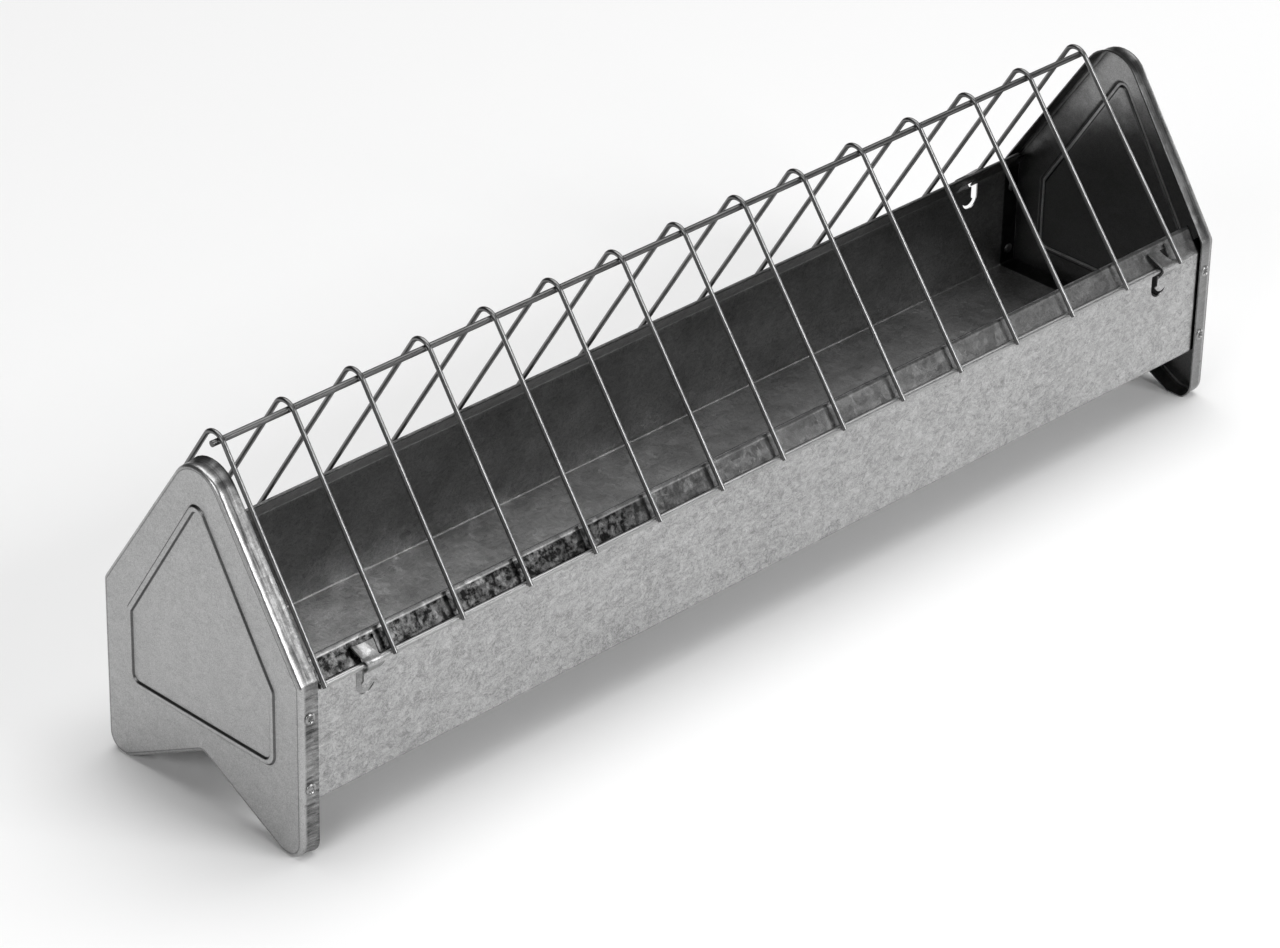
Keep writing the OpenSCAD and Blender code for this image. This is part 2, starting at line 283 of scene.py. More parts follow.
def build_plate(name, turned, material, seed):
    """Pressed pan: a face with a raised bead, a round bend and a flange along every edge."""
    loop = plate_outline()
    miter = [inward(loop, i) for i in range(len(loop))]
    bm = bmesh.new()
    painted_crease_shade = bm.verts.layers.float.new("painted_crease_shade")

    def ring(across, depth):
        """One line round the plate, across from the outermost edge and depth behind the face."""
        return [bm.verts.new((-HALF_LEN + depth, *(p + m * across)))
                for p, m in zip(loop, miter)]

    rings = [ring(FLANGE_FLARE, FLANGE_D), ring(FLANGE_FLARE * 0.75, FLANGE_D - 0.6),
             ring(0.05, 4.6), ring(0.0, 2.6)]
    for k in range(7):
        a = k / 6 * pi / 2
        rings.append(ring(BEND_R - BEND_R * cos(a), BEND_R - BEND_R * sin(a)))
    rings.append(ring(BEND_R + BESIDE, 0.0))
    # Painted shade: a dark line where the face meets the bend
    for v in rings[-2]:
        v[painted_crease_shade] = BEND_SHADE
    for a, b in zip(rings, rings[1:]):
        bridge(bm, a, b)

    bead = bead_line()
    bead_miter = [inward(bead, i) for i in range(len(bead))]
    section = BEAD_SECTION + [(BEAD_W - d, h) for d, h in reversed(BEAD_SECTION)]
    section = [(-BESIDE, 0)] + section + [(BEAD_W + BESIDE, 0)]
    bead_rings = [[
        bm.verts.new((-HALF_LEN - BEAD_RISE * h, *(p + m * d)))
        for p, m in zip(bead, bead_miter)] for d, h in section]
    for a, b in zip(bead_rings, bead_rings[1:]):
        bridge(bm, a, b)
    # Painted shade: dark lines along the bead's slopes
    for line, (_, h) in zip(bead_rings, section):
        for v in line:
            v[painted_crease_shade] = 1.0 if BEAD_SHADE_FROM < h < BEAD_SHADE_TO else 0.0

    fill(bm, [rings[-1], bead_rings[0]])
    fill(bm, [bead_rings[-1]])
    for v in bm.verts:
        face = 1 - smoothstep(1.0, FLANGE_D, v.co.x + HALF_LEN)
        v.co.x += FACE_WAVE * (1 + dent(*v.co, seed=seed)) * face
        v.co.z = max(v.co.z, 0.0)
    bmesh.ops.recalc_face_normals(bm, faces=bm.faces)
    middle = min(bm.faces, key=lambda f: (
        f.calc_center_median() - Vector((-HALF_LEN, 0, 60))).length)
    if middle.normal.x > 0:
        bmesh.ops.reverse_faces(bm, faces=bm.faces)
    return finish_mesh(bm, name, "base", name.replace("pressed_", ""), material,
                       turned, SHEET, -1.0, even=False)


def fill(bm, loops):
    """Fills the flat region between an outer ring of vertices and the rings inside it."""
    verts = [v for loop in loops for v in loop]
    flat = [[Vector((v.co.y, v.co.z, 0)) for v in loop] for loop in loops]
    for tri in tessellate_polygon(flat):
        bm.faces.new([verts[i] for i in tri])


# --- Trough ---

def section_path():
    """Middle line of the folded sheet, from the middle of the floor to the rear hem."""
    half = SHEET / 2
    fold = Vector((WALL_Y, FOLD_Z))
    lip = fold - LIP_OUT * half
    wall_top = meet(Vector((WALL_Y - half, 0)), Vector((0, 1)), lip, LIP_UP)
    hem_r = 0.42
    turn_at = lip + LIP_UP * (LIP_LEN - half - hem_r)
    path = rounded_path(
        [Vector((0, FLOOR_Z + half)), Vector((WALL_Y - half, FLOOR_Z + half)), wall_top, turn_at],
        [FOLD_R, FOLD_R], 6)
    centre = turn_at - LIP_OUT * hem_r
    for k in range(1, 7):
        a = k / 6 * pi
        path.append(centre + LIP_OUT * (hem_r * cos(a)) + LIP_UP * (hem_r * sin(a)))
    path.append(path[-1] - LIP_UP * HEM_W)
    return path


class Section:
    """The section's middle line by its length, so that the sheet can be cut while flat."""

    def __init__(self):
        rear = with_steps(section_path(), 9.0)
        self.points = [Vector((-p.x, p.y)) for p in reversed(rear[1:])] + rear
        lengths = [0.0]
        for a, b in zip(self.points, self.points[1:]):
            lengths.append(lengths[-1] + (b - a).length)
        middle = lengths[-1] / 2
        self.at = [s - middle for s in lengths]

    def place(self, s):
        s = max(self.at[0], min(self.at[-1], s))
        for i in range(len(self.at) - 1):
            if s <= self.at[i + 1] + 1e-9:
                t = (s - self.at[i]) / (self.at[i + 1] - self.at[i])
                return self.points[i].lerp(self.points[i + 1], t)
        return self.points[-1]

    def length_at(self, test):
        """Length from the middle of the floor to the first rear point that passes test."""
        for s, p in zip(self.at, self.points):
            if s > 0 and test(p):
                return s
        return self.at[-1]


def circle_points(cx, cy, r, start, end, steps):
    return [Vector((cx + r * cos(radians(start + (end - start) * k / steps)),
                    cy + r * sin(radians(start + (end - start) * k / steps))))
            for k in range(steps + 1)]


def clip_hole(x, fold_s):
    """Hook slot, its stroke and the tongue's window as one closed line in (x, s).

    s runs up the wall; fold_s is the fold's. The hook opens to the right."""
    top = fold_s + LIP_LEN - HEM_W + 1.2
    root = fold_s - 0.7
    right = x + SLOT_W + TONGUE_W + 0.9
    base = fold_s - 6.1
    outer_r, inner_r = 4.5, 3.5
    hook = circle_points(x + outer_r, base, outer_r, 180, 345, 16)
    inner = circle_points(x + 6.1, base + 1.0, inner_r, 328, 200, 12)
    left = x + SLOT_W + 0.2
    line = [Vector((left, top)), Vector((left, fold_s - 0.2)), Vector((x, fold_s - 0.2)),
            Vector((x, base))] + hook[1:] + inner
    line += [Vector((x + SLOT_W, base + 0.6)), Vector((x + SLOT_W, root)),
             Vector((right, root)), Vector((right, top))]
    return line


def inside_loop(p, loop):
    hit = False
    for i in range(len(loop)):
        a, b = loop[i - 1], loop[i]
        if (a.y > p.y) != (b.y > p.y) and p.x < (b.x - a.x) * (p.y - a.y) / (b.y - a.y) + a.x:
            hit = not hit
    return hit


def build_trough(material):
    section = Section()
    end = section.at[-1]
    fold_s = section.length_at(lambda p: p.y > FOLD_Z - 0.45)
    lip_s = section.length_at(lambda p: p.y > FOLD_Z + 0.6)
    outline = [Vector(p) for p in (
        (-LIP_X, -end), (LIP_X, -end), (LIP_X, -lip_s), (TROUGH_X, -lip_s),
        (TROUGH_X, lip_s), (LIP_X, lip_s), (LIP_X, end), (-LIP_X, end),
        (-LIP_X, lip_s), (-TROUGH_X, lip_s), (-TROUGH_X, -lip_s), (-LIP_X, -lip_s))]
    holes = []
    for x in SLOT_X:
        line = clip_hole(x, fold_s)
        holes.append([Vector((p.x, -p.y)) for p in line])
        holes.append([Vector((-p.x, p.y)) for p in line])

    points, edges = [], []

    def add_line(line, closed):
        first = len(points)
        points.extend(line)
        count = len(line)
        for i in range(count if closed else count - 1):
            edges.append((first + i, first + (i + 1) % count))

    add_line(outline, True)
    for hole in holes:
        add_line(hole, True)
    for s in section.at[1:-1]:
        half = TROUGH_X if abs(s) <= lip_s else LIP_X
        add_line([Vector((-half, s)), Vector((half, s))], False)
    columns = 32
    for k in range(1, columns):
        x = -LIP_X + 2 * LIP_X * k / columns
        add_line([Vector((x, -end)), Vector((x, end))], False)
    flat, _, faces, _, _, _ = delaunay_2d_cdt(points, edges, [], 0, 1e-5)

    bm = bmesh.new()
    verts = []
    for p in flat:
        yz = section.place(p.y)
        verts.append(bm.verts.new((p.x, yz.x, yz.y)))
    for f in faces:
        middle = sum((flat[i] for i in f), Vector((0, 0))) / len(f)
        if not inside_loop(middle, outline) or any(inside_loop(middle, h) for h in holes):
            continue
        bm.faces.new([verts[i] for i in f])
    loose = [v for v in bm.verts if not v.link_faces]
    bmesh.ops.delete(bm, geom=loose, context="VERTS")
    for v in bm.verts:
        x, y, z = v.co
        calm = smoothstep(0, 14, HALF_LEN - abs(x))
        low_down = 1 - smoothstep(35, 60, z)
        on_wall = smoothstep(24, 40, z) * (1 - smoothstep(60, 67, z))
        v.co.z += 0.25 * dent(x, y, z, 60, 3.1) * calm * low_down + 0.1 * calm
        v.co.y += 0.22 * dent(x, y, z, 70, 7.7) * calm * on_wall
    for x in SLOT_X:
        for turn in (False, True):
            add_tongue(bm, x + SLOT_W + 0.3, turn)
    bmesh.ops.recalc_face_normals(bm, faces=bm.faces)
    return finish_mesh(bm, "folded_trough", "base", "trough", material,
                       False, SHEET, 0.0)


def smooth_line(points, parts):
    """Catmull-Rom curve through the points."""
    ends = [points[0] * 2 - points[1]] + points + [points[-1] * 2 - points[-2]]
    line = []
    for i in range(1, len(ends) - 2):
        a, b, c, d = ends[i - 1:i + 3]
        for k in range(parts):
            t = k / parts
            line.append(0.5 * ((2 * b) + (c - a) * t + (2 * a - 5 * b + 4 * c - d) * t ** 2
                               + (3 * b - a - 3 * c + d) * t ** 3))
    return line + [points[-1].copy()]


def add_tongue(bm, x, turned):
    """A clip's tongue, from its root in the wall to its tip beside the hem; turned at the back."""
    y = -(WALL_Y - SHEET / 2)
    path = smooth_line([Vector((y + dy, FOLD_Z + dz)) for dy, dz in (
        (0.0, -3.6), (-0.2, -2.5), (-1.8, -0.4), (-3.0, 1.5), (-2.75, 3.2),
        (-0.6, 5.1), (3.3, 7.7))], 4)
    run = [0.0]
    for a, b in zip(path, path[1:]):
        run.append(run[-1] + (b - a).length)
    rows = []
    across = 6
    for p, s in zip(path, run):
        t = smoothstep(2.5, run[-1], s)
        row = []
        for k in range(across + 1):
            u = k / across
            px = x + TONGUE_W * u * (1 - 0.22 * t) - TONGUE_LEAN * t * (1.0 - 0.25 * u)
            curl = 0.5 * t * t * (1 - u) ** 3
            row.append(bm.verts.new((px, p.x - 0.5 * curl, p.y + curl - 0.5 * t * u)))
        rows.append(row)
    if turned:
        for row in rows:
            for v in row:
                v.co.x, v.co.y = -v.co.x, -v.co.y
    for a, b in zip(rows, rows[1:]):
        bridge(bm, a, b, closed=False)


# --- Wires ---

def tube(bm, path, radius, sides=14, wobble=0.0, seed=0.0):
    """Round wire along a path of points, with slightly burred cut ends."""
    n = len(path)
    tangent = []
    for i in range(n):
        a, b = path[max(i - 1, 0)], path[min(i + 1, n - 1)]
        tangent.append((b - a).normalized())
    side = tangent[0].orthogonal().normalized()
    rings = []
    for i, p in enumerate(path):
        side = (side - tangent[i] * side.dot(tangent[i])).normalized()
        other = tangent[i].cross(side)
        drift = Vector((noise.noise(p / 19 + Vector((seed, 0, 0))),
                        noise.noise(p / 19 + Vector((0, seed, 5))), 0)) * wobble
        r = radius * (1 + 0.02 * noise.noise(p / 5 + Vector((seed, seed, 0))))
        if wobble and hypot(drift.x, drift.y) + r > radius + wobble:
            r = radius
        rings.append([bm.verts.new(p + drift + (side * cos(a) + other * sin(a)) * r)
                      for a in (2 * pi * k / sides for k in range(sides))])
    for a, b in zip(rings, rings[1:]):
        bridge(bm, a, b)
    for ring, way, keep in ((rings[0], -1, tangent[0]), (rings[-1], 1, tangent[-1])):
        centre = sum((v.co for v in ring), Vector()) / sides
        inner = [bm.verts.new(centre + (v.co - centre) * 0.86 + keep * way * BURR) for v in ring]
        bridge(bm, ring, inner)
        bm.faces.new(inner)


def weld(bm, at, size, seed):
    """Small lump of metal squeezed out of a resistance weld."""
    made = bmesh.ops.create_icosphere(bm, subdivisions=2, radius=1.0)
    for v in made["verts"]:
        bump = 1 + 0.16 * noise.noise(v.co * 1.7 + Vector((seed, seed, seed)))
        v.co = Vector((v.co.x * size[0], v.co.y * size[1], v.co.z * size[2])) * bump + at


def build_wire(k, material):
    """Wire k: two straight legs and a round bend in the leaning plane of its CAD solid."""
    name = f"wire_{k:02d}"
    low, high = box_mm(name)
    foot_x = high.x - WIRE_R
    foot_z = low.z + WIRE_R * cos(LIP_ANGLE)
    foot_y = high.y - WIRE_R * sin(LIP_ANGLE)
    lean = asin((high.x - low.x - 2 * WIRE_R) / hypot(high.z - low.z - 2 * WIRE_R, high.x - low.x))
    foot = Vector((foot_y, 0))
    peak = Vector((0, foot_y * tan(LIP_ANGLE)))
    legs = rounded_path([foot, peak, Vector((-foot_y, 0))], [WIRE_BEND_R], 18)
    legs = with_steps(legs, 5.0)
    path = [Vector((0, p.x, p.y)) for p in legs]
    bm = bmesh.new()
    tube(bm, path, WIRE_R - SKIN, 14, 0.05, 3.7 * k)
    weld_size = (1.3, 0.85, 0.8)
    for side in (1, -1):
        at = Vector((0, side * (foot_y - RAIL_UP * cos(LIP_ANGLE)), RAIL_UP * sin(LIP_ANGLE)))
        at -= Vector((0, side * LIP_OUT.x, LIP_OUT.y)) * WELD_IN
        weld(bm, at, weld_size, k + side)
    ridge = Vector((0, (ridge_low.y + ridge_high.y) / 2, (ridge_low.z + ridge_high.z) / 2 - foot_z))
    weld(bm, ridge + Vector((0, -LIP_OUT.x, LIP_OUT.y)) * 1.1, (1.3, 0.85, 0.85), 9 + k)
    turn = Matrix.Translation((foot_x, 0, foot_z)) @ Matrix.Rotation(-lean, 4, "Y")
    bm.transform(turn)
    bmesh.ops.recalc_face_normals(bm, faces=bm.faces)
    return finish_mesh(bm, "bent_" + name, "grille", name, material)


def build_long_wire(node, body, material, seed):
    low, high = box_mm(node)
    middle = (low + high) / 2
    count = 90
    length = high.x - low.x - 2 * BURR
    path = [Vector((low.x + BURR + length * i / count, middle.y, middle.z))
            for i in range(count + 1)]
    bm = bmesh.new()
    tube(bm, path, (high.z - low.z) / 2 - SKIN, 16, 0.0, seed)
    bmesh.ops.recalc_face_normals(bm, faces=bm.faces)
    return finish_mesh(bm, "long_" + node, body, node, material)


# --- Rivets ---

def build_rivet(node, material):
    """Tubular rivet: a rolled ring of a head round a dimple, and a flat foot inside."""
    low, high = box_mm(node)
    outward = 1 if high.y > 0 else -1
    head_r = (high.x - low.x) / 2
    centre = Vector(((low.x + high.x) / 2, 0, (low.z + high.z) / 2))
    outer = high.y if outward > 0 else -low.y
    inner = low.y if outward > 0 else -high.y
    head = outer - 0.8
    turned = [(0, -0.35), (0.45, -0.33), (0.85, -0.12), (1.05, 0.3), (1.25, 0.62), (1.6, 0.77),
              (1.95, 0.66), (2.25, 0.42), (head_r - 0.02, 0.12), (head_r - 0.05, 0.0)]
    profile = [(r, head + h) for r, h in turned]
    foot = inner + 0.8
    profile += [(1.4, head), (1.4, foot), (2.1, foot), (2.05, foot - 0.35), (1.5, foot - 0.68),
                (0.7, foot - 0.78), (0, foot - 0.79)]
    steps = 28
    bm = bmesh.new()
    rings = []
    for r, h in profile:
        rings.append([bm.verts.new((centre.x + r * cos(2 * pi * k / steps), h * outward,
                                    centre.z + r * sin(2 * pi * k / steps)))
                      for k in range(steps)])
    for a, b in zip(rings, rings[1:]):
        bridge(bm, a, b)
    bmesh.ops.remove_doubles(bm, verts=bm.verts, dist=1e-4)
    bmesh.ops.recalc_face_normals(bm, faces=bm.faces)
    return finish_mesh(bm, "set_" + node, "base", node, material)


# --- Materials ---
# Inside the shaders lengths are in metres, and noise scales count features per metre.

# Shares of the metal's grey taken away by painted shade along the bend and the bead, by painted
# shade on the hems, and by the darker rear lip
CREASE_SHADE = 0.72
HEM_SHADE = 0.7
REAR_LIP_DARKENING = 0.55


class Nodes:
    """A short way to write a node tree."""

    def __init__(self, name):
        self.material = bpy.data.materials.new(name)
        self.material.use_nodes = True
        self.tree = self.material.node_tree
        self.shader = self.tree.nodes["Principled BSDF"]

    def add(self, kind, inputs=None, **settings):
        node = self.tree.nodes.new(kind)
        for key, value in settings.items():
            setattr(node, key, value)
        for key, value in (inputs or {}).items():
            self.put(node.inputs[key], value)
        return node

    def put(self, socket, value):
        if isinstance(value, bpy.types.NodeSocket):
            self.tree.links.new(value, socket)
        else:
            socket.default_value = value

    def maths(self, operation, a, b=0.0, c=0.0, clamp=False):
        node = self.add("ShaderNodeMath", operation=operation, use_clamp=clamp)
        for socket, value in zip(node.inputs, (a, b, c)):
            self.put(socket, value)
        return node.outputs[0]

    def mix(self, factor, a, b):
        node = self.add("ShaderNodeMix", data_type="FLOAT")
        self.put(node.inputs[0], factor)
        self.put(node.inputs[2], a)
        self.put(node.inputs[3], b)
        return node.outputs[0]

    def remap(self, value, low, high, to_low, to_high):
        node = self.add("ShaderNodeMapRange")
        for socket, v in zip(node.inputs, (value, low, high, to_low, to_high)):
            self.put(socket, v)
        return node.outputs[0]

    def above(self, value, level, soft):
        """0 below level, 1 past it by soft."""
        return self.remap(value, level, level + soft, 0.0, 1.0)

    def below(self, value, level, soft):
        """1 below level, 0 past it by soft."""
        return self.remap(value, level, level + soft, 1.0, 0.0)

    def both(self, first, *others):
        """Product of masks."""
        for mask in others:
            first = self.maths("MULTIPLY", first, mask)
        return first

    def noise(self, place, scale, detail=3.0, roughness=0.55, distortion=0.0):
        node = self.add("ShaderNodeTexNoise", {
            "Vector": place, "Scale": scale, "Detail": detail,
            "Roughness": roughness, "Distortion": distortion})
        return node.outputs["Fac"]

    def stretched(self, place, turn, stretch):
        node = self.add("ShaderNodeMapping", {
            "Vector": place, "Rotation": turn, "Scale": stretch})
        return node.outputs[0]


def galvanised(name, grey, contrast, rough, leaf, tilt, speck, shade):
    """Zinc-coated steel: leafy crystals a few millimetres long, clouds, specks and scratches.

    grey is the base reflectance, contrast how far the crystals part from it, leaf their
    frequency per metre, and tilt how far each one leans out of the sheet. shade darkens
    the marked and dirty places and paints shade into the colour."""
    n = Nodes(name)
    shape = n.add("ShaderNodeNewGeometry")
    place = shape.outputs["Position"]
    warp = n.add("ShaderNodeTexNoise", {"Vector": place, "Scale": leaf * 0.6, "Detail": 3.0})
    bent = n.add("ShaderNodeVectorMath", operation="MULTIPLY_ADD")
    n.put(bent.inputs[0], warp.outputs["Color"])
    n.put(bent.inputs[1], (0.005, 0.005, 0.005))
    n.put(bent.inputs[2], place)
    bent = bent.outputs[0]

    grain = n.add("ShaderNodeTexVoronoi", {"Vector": bent, "Scale": leaf, "Randomness": 1.0})
    tone = n.add("ShaderNodeSeparateColor", {"Color": grain.outputs["Color"]})
    leaf_a = n.noise(n.stretched(bent, (0.5, 0.7, 0.6), (1.0, 0.3, 1.0)), leaf * 2.6, 2.0, 0.6)
    leaf_b = n.noise(n.stretched(bent, (-0.6, -0.8, 0.9), (0.3, 1.0, 1.0)), leaf * 2.6, 2.0, 0.6)
    leaves = n.mix(n.remap(tone.outputs[0], 0.4, 0.6, 0.0, 1.0), leaf_a, leaf_b)
    fine = n.noise(place, leaf * 9, 2.0, 0.6)
    cloud = n.noise(place, 14.0, 3.0, 0.5)
    pattern = n.maths("ADD", n.maths("MULTIPLY", n.remap(leaves, 0.3, 0.7, -1.0, 1.0), 0.7),
                      n.maths("MULTIPLY", n.remap(tone.outputs[1], 0.0, 1.0, -1.0, 1.0), 0.3))
    level = n.maths("MULTIPLY_ADD", pattern, contrast, grey)
    level = n.maths("MULTIPLY_ADD", n.remap(cloud, 0.3, 0.7, -1.0, 1.0), contrast * 0.25, level)
    level = n.maths("MULTIPLY_ADD", n.remap(fine, 0.3, 0.7, -1.0, 1.0), 0.09, level)

    dots = n.add("ShaderNodeTexVoronoi", {"Vector": place, "Scale": 230.0, "Randomness": 1.0})
    rare = n.add("ShaderNodeSeparateColor", {"Color": dots.outputs["Color"]})
    spot = n.maths("MULTIPLY", n.remap(dots.outputs["Distance"], 0.09, 0.2, 1.0, 0.0),
                   n.remap(rare.outputs[0], 0.8, 0.86, 0.0, 1.0), clamp=True)
    level = n.maths("MULTIPLY", level, n.maths("MULTIPLY_ADD", spot, -speck, 1.0), clamp=True)
    level = n.maths("MULTIPLY", level, shade(n, place), clamp=True)
    colour = n.add("ShaderNodeCombineColor")
    for socket in colour.inputs:
        n.put(socket, level)
    n.put(n.shader.inputs["Base Color"], colour.outputs[0])

    scratch = n.noise(n.stretched(place, (0.3, 0.2, 0.9), (1.0, 0.03, 1.0)), 900.0, 2.0, 0.5)
    roughness = n.maths("MULTIPLY_ADD", pattern, -0.06, rough)
    roughness = n.maths("MULTIPLY_ADD", n.remap(scratch, 0.4, 0.8, 0.0, 1.0), 0.05, roughness)
    n.put(n.shader.inputs["Roughness"], n.maths("MULTIPLY", roughness, 1.0, clamp=True))
    n.put(n.shader.inputs["Metallic"], 1.0)

    height = n.maths("MULTIPLY_ADD", leaves, 1.0, n.maths("MULTIPLY", fine, 0.15))
    height = n.maths("MULTIPLY_ADD", cloud, 5.0, height)
    relief = n.add("ShaderNodeBump", {"Strength": 0.5, "Distance": 0.00006, "Height": height})
    lean = n.add("ShaderNodeVectorMath", operation="MULTIPLY_ADD")
    n.put(lean.inputs[0], grain.outputs["Color"])
    n.put(lean.inputs[1], (tilt, tilt, tilt))
    n.put(lean.inputs[2], (-tilt / 2, -tilt / 2, -tilt / 2))
    facing = n.add("ShaderNodeVectorMath", operation="ADD")
    n.put(facing.inputs[0], relief.outputs[0])
    n.put(facing.inputs[1], lean.outputs[0])
    level_normal = n.add("ShaderNodeVectorMath", operation="NORMALIZE")
    n.put(level_normal.inputs[0], facing.outputs[0])
    n.put(n.shader.inputs["Normal"], level_normal.outputs[0])
    return n.material


def plate_wear_and_shade(n, place):
    """Drawing marks over painted shade on the flange, painted shade along the bend and the bead,
    and painted shade on the right plate's inner face.
    """
    x, y, z = n.add("ShaderNodeSeparateXYZ", {"Vector": place}).outputs
    depth = n.maths("SUBTRACT", HALF_LEN * MM, n.maths("ABSOLUTE", x))
    flange = n.above(depth, 0.0018, 0.0012)
    # Painted shade over the whole flange, darkest on the slopes, with drawing marks in it
    flange_marks_and_shade = n.mix(n.above(z, 0.068, 0.008),
                 upright_marks_and_shade(n, place, x), slope_marks_and_shade(n, place, x, y, z))
    # Painted shade: dark lines where the face meets the bend and on the bead's slopes
    painted_crease_shade = n.add("ShaderNodeAttribute", attribute_name="painted_crease_shade").outputs["Fac"]
    painted_shade_factor = n.maths("MULTIPLY_ADD", painted_crease_shade, -CREASE_SHADE, 1.0)
    # Painted shade: the right plate's inner face is darkened, most low down and less towards its
    # top
    inside = n.both(n.above(depth, 0.00035, 0.00015), n.below(depth, 0.0012, 0.0008),
                    n.above(x, 0.0, 0.01))
    height = n.maths("MULTIPLY_ADD", n.noise(place, 45.0, 3.0, 0.6), 0.03, z)
    painted_inside_shade = n.mix(inside, 1.0, n.remap(height, 0.112, 0.146, 0.27, 1.1))
    painted_shade_factor = n.maths("MULTIPLY", painted_shade_factor, painted_inside_shade)
    return n.maths("MULTIPLY", n.mix(flange, 1.0, flange_marks_and_shade), painted_shade_factor, clamp=True)


def upright_marks_and_shade(n, place, x):
    """Marks across the flange's upright stretches, rough on the left plate, calm on the right, in
    painted shade that darkens the whole stretch.
    """
    streak = n.noise(n.stretched(place, (0, 0, 0), (0.1, 1.0, 1.0)), 620.0, 4.0, 0.65)
    patch = n.noise(place, 60.0, 3.0, 0.6)
    rough = n.maths("ADD", n.remap(streak, 0.35, 0.65, 0.18, 0.7),
                    n.remap(patch, 0.35, 0.65, -0.12, 0.15))
    calm = n.maths("ADD", n.remap(streak, 0.35, 0.65, 0.46, 0.56),
                   n.remap(patch, 0.35, 0.65, -0.05, 0.05))
    return n.mix(n.above(x, -0.1, 0.2), rough, calm)


def slope_marks_and_shade(n, place, x, y, z):
    """Long marks that run up the flange's slopes, in painted shade that darkens the whole slope."""
    along = n.maths("MULTIPLY_ADD", n.maths("ABSOLUTE", y), -cos(PLATE_SLOPE),
                    n.maths("MULTIPLY", z, sin(PLATE_SLOPE)))
    rolled = n.add("ShaderNodeCombineXYZ", {"X": x, "Y": n.maths("MULTIPLY", along, 0.05)})
    streak = n.noise(rolled.outputs[0], 800.0, 3.0, 0.6)
    patch = n.noise(place, 60.0, 3.0, 0.6)
    return n.maths("ADD", n.remap(streak, 0.35, 0.65, 0.1, 0.36),
                   n.remap(patch, 0.35, 0.65, -0.05, 0.06))


def trough_wear_and_shade(n, place):
    """Mottled front lip with painted shade on it, painted shade on the hems, a darker rear lip, a
    cloudy inside that is darker towards the top of the walls, and a painted shadow beside the right
    flange.
    """
    x, y, z = n.add("ShaderNodeSeparateXYZ", {"Vector": place}).outputs
    # Painted shade that dims the highlight along the top of the hems
    hem = n.remap(z, 0.0778, 0.0783, 0.0, HEM_SHADE)
    # The rear lip and fold are made darker
    rear = n.maths("MULTIPLY", n.remap(y, 0.0395, 0.04, 0.0, REAR_LIP_DARKENING),
                   n.above(z, 0.069, 0.001))
    hem_shade_and_rear_dark = n.maths("SUBTRACT", 1.0, n.maths("MAXIMUM", hem, rear))
    # Painted shadow: a dark strip on the wall where it meets the right plate's flange
    end = n.maths("MULTIPLY", n.remap(x, 0.2402, 0.241, 1.0, 0.08), hem_shade_and_rear_dark)
    end = n.maths("MULTIPLY", end, n.mix(inside_trough(n, y, z), 1.0, soil_and_height_tone(n, place, z)))
    # Painted shade on the front lip, darkest on its left half, with blotches in it
    return n.maths("MULTIPLY", n.mix(front_lip(n, y, z), 1.0, lip_mottle_and_shade(n, place, x)), end)


def inside_trough(n, y, z):
    """1 below the folds on all but the walls' outer faces."""
    return n.both(n.below(n.maths("ABSOLUTE", y), WALL_Y * MM - 0.0005, 0.0001),
                  n.below(z, 0.067, 0.002))


def soil_and_height_tone(n, place, z):
    """Cloudy dirt, darker towards the top of the walls."""
    stain = n.noise(place, 55.0, 4.0, 0.6)
    return n.maths("MULTIPLY", n.remap(stain, 0.35, 0.65, 0.82, 1.12),
                   n.remap(z, 0.028, 0.066, 1.18, 0.78))


def front_lip(n, y, z):
    """1 on the front lip's own face, between fold and hem, and 0 on the tongues above it."""
    out = n.maths("MULTIPLY_ADD", y, -LIP_OUT.x, n.maths("MULTIPLY", z, LIP_OUT.y))
    surface = (WALL_Y * LIP_OUT.x + FOLD_Z * LIP_OUT.y) * MM
    return n.both(n.above(z, 0.0698, 0.0005), n.below(z, 0.0776, 0.0005),
                  n.below(out, surface + 0.0003, 0.0003), n.below(y, -0.0405, 0.0005))


def lip_mottle_and_shade(n, place, x):
    """Blotches on the lip, with painted shade: dark on the left half, calmer and lighter on the
    right.
    """
    dark = n.remap(n.noise(place, 340.0, 4.0, 0.65, 0.3), 0.42, 0.66, 0.02, 0.32)
    light = n.remap(n.noise(n.stretched(place, (0, 0, 0), (0.3, 1.0, 1.0)), 330.0, 3.0, 0.6),
                    0.35, 0.65, 0.55, 0.8)
    drift = n.maths("MULTIPLY_ADD", n.noise(place, 25.0, 2.0), 0.08, x)
    return n.mix(n.above(drift, -0.06, 0.17), dark, light)


def wire_metal(name, grey, rough):
    """Plain zinc-coated wire: faint clouds, fine nicks and small dark stains."""
    n = Nodes(name)
    place = n.add("ShaderNodeNewGeometry").outputs["Position"]
    cloud = n.noise(place, 60.0, 3.0, 0.6)
    nick = n.noise(place, 420.0, 4.0, 0.65)
    level = n.maths("MULTIPLY_ADD", n.remap(cloud, 0.3, 0.7, -1.0, 1.0), 0.03, grey)
    stain = n.remap(nick, 0.60, 0.72, 0.0, 1.0)
    level = n.maths("MULTIPLY", level, n.maths("MULTIPLY_ADD", stain, -0.3, 1.0), clamp=True)
    colour = n.add("ShaderNodeCombineColor")
    for socket in colour.inputs:
        n.put(socket, level)
    n.put(n.shader.inputs["Base Color"], colour.outputs[0])
    n.put(n.shader.inputs["Roughness"],
          n.maths("MULTIPLY_ADD", n.remap(nick, 0.3, 0.75, -0.5, 1.0), 0.05, rough))
    n.put(n.shader.inputs["Metallic"], 1.0)
    relief = n.add("ShaderNodeBump", {"Strength": 0.05, "Distance": 0.00001, "Height": nick})
    n.put(n.shader.inputs["Normal"], relief.outputs[0])
    return n.material


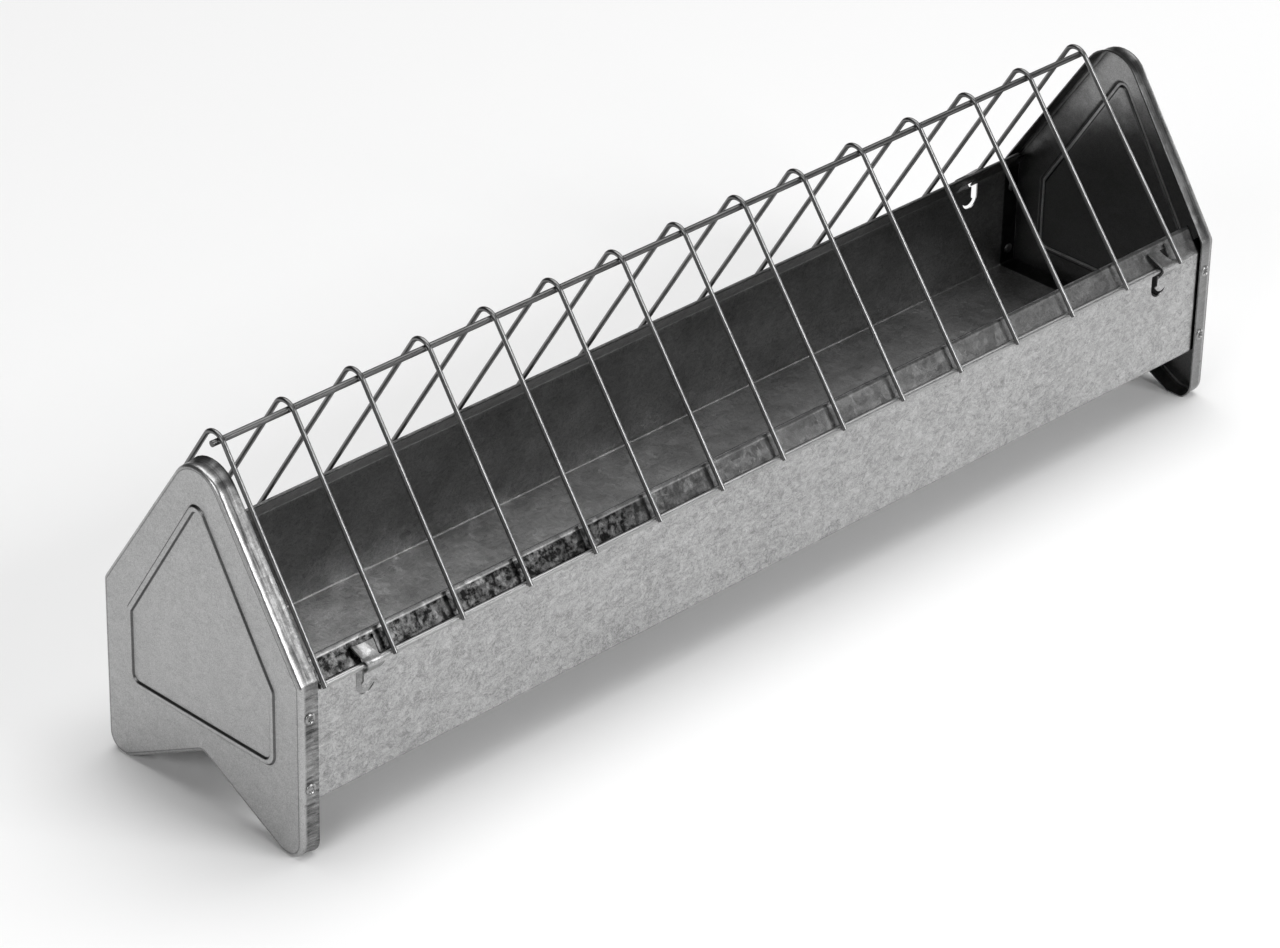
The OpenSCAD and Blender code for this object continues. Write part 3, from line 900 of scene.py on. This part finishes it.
plate_metal = galvanised("galvanised_plate", 0.41, 0.035, 0.34, 260.0, 0.05, 0.35, plate_wear_and_shade)
trough_metal = galvanised("galvanised_trough", 0.375, 0.12, 0.33, 300.0, 0.07, 0.1, trough_wear_and_shade)
# Painted shade: the grille wires and the ridge rod get a darker grey than the rails of the same
# metal
grille_metal_shaded_dark = wire_metal("galvanised_wire_shaded_dark", 0.18, 0.31)
ridge_metal_shaded_dark = wire_metal("galvanised_ridge_rod_shaded_dark", 0.13, 0.3)
rail_metal = wire_metal("galvanised_rail", 0.36, 0.36)
rivet_metal = wire_metal("rivet_steel", 0.32, 0.32)

build_plate("pressed_left_end_plate", False, plate_metal, 1.3)
build_plate("pressed_right_end_plate", True, plate_metal, 5.9)
build_trough(trough_metal)
for number in range(1, WIRES + 1):
    build_wire(number, grille_metal_shaded_dark)
build_long_wire("ridge_rod", "grille", ridge_metal_shaded_dark, 0.4)
build_long_wire("front_rail", "grille", rail_metal, 2.9)
build_long_wire("rear_rail", "rear_rail", rail_metal, 4.2)
for rivet_node in sorted(frame["nodes"]):
    if rivet_node.startswith("rivet_"):
        build_rivet(rivet_node, rivet_metal)


# --- Floor, light and camera ---

def floor():
    n = Nodes("pale_floor")
    n.put(n.shader.inputs["Base Color"], (0.9, 0.9, 0.9, 1.0))
    n.put(n.shader.inputs["Roughness"], 0.85)
    bm = bmesh.new()
    bmesh.ops.create_grid(bm, x_segments=1, y_segments=1, size=6.0)
    mesh = bpy.data.meshes.new("floor")
    bm.to_mesh(mesh)
    bm.free()
    mesh.materials.append(n.material)
    obj = bpy.data.objects.new("floor", mesh)
    bpy.context.scene.collection.objects.link(obj)


def area_light(name, at, target, size, power):
    data = bpy.data.lights.new(name, "AREA")
    data.shape = "RECTANGLE"
    data.size, data.size_y = size
    data.energy = power
    obj = bpy.data.objects.new(name, data)
    obj.location = at
    obj.rotation_euler = (Vector(target) - Vector(at)).to_track_quat("-Z", "Y").to_euler()
    bpy.context.scene.collection.objects.link(obj)


def world(strength):
    w = bpy.data.worlds.new("studio")
    bpy.context.scene.world = w
    w.use_nodes = True
    w.node_tree.nodes["Background"].inputs["Color"].default_value = (1, 1, 1, 1)
    w.node_tree.nodes["Background"].inputs["Strength"].default_value = strength


def camera(azimuth, elevation, roll, distance, target, lens):
    """Azimuth 0 looks along +Y. Angles are in degrees, lengths in metres, lens in millimetres."""
    az, el, ro = radians(azimuth), radians(elevation), radians(roll)
    back = Vector((sin(az) * cos(el), -cos(az) * cos(el), sin(el)))
    across = Vector((0, 0, 1)).cross(back).normalized()
    up = back.cross(across)
    x = across * cos(ro) + up * sin(ro)
    y = up * cos(ro) - across * sin(ro)
    data = bpy.data.cameras.new("camera")
    data.sensor_width = 36.0
    data.lens = lens
    data.clip_end = 50.0
    obj = bpy.data.objects.new("camera", data)
    basis = Matrix((x, y, back)).transposed().to_4x4()
    obj.matrix_world = Matrix.Translation(Vector(target) + back * distance) @ basis
    bpy.context.scene.collection.objects.link(obj)
    bpy.context.scene.camera = obj


floor()
world(0.03)
area_light("overhead", (0.6, 0.4, 2.8), (0, 0, 0), (3.4, 3.2), 92)
area_light("left_fill", (-1.5, -0.4, 0.9), (-0.4, -0.1, 0), (0.9, 0.7), 8)
area_light("front_box", (0.36, -1.56, 0.84), (0, 0, 0.08), (0.9, 0.45), 16)
area_light("side_box", (1.65, -0.42, 0.2), (0, 0, 0.08), (1.1, 0.34), 5)
camera(-45.765, 30.139, 1.318, 1.9869, (-0.0281, 0.0, 0.0498), 145.850625)
bpy.context.scene.view_settings.view_transform = "Standard"
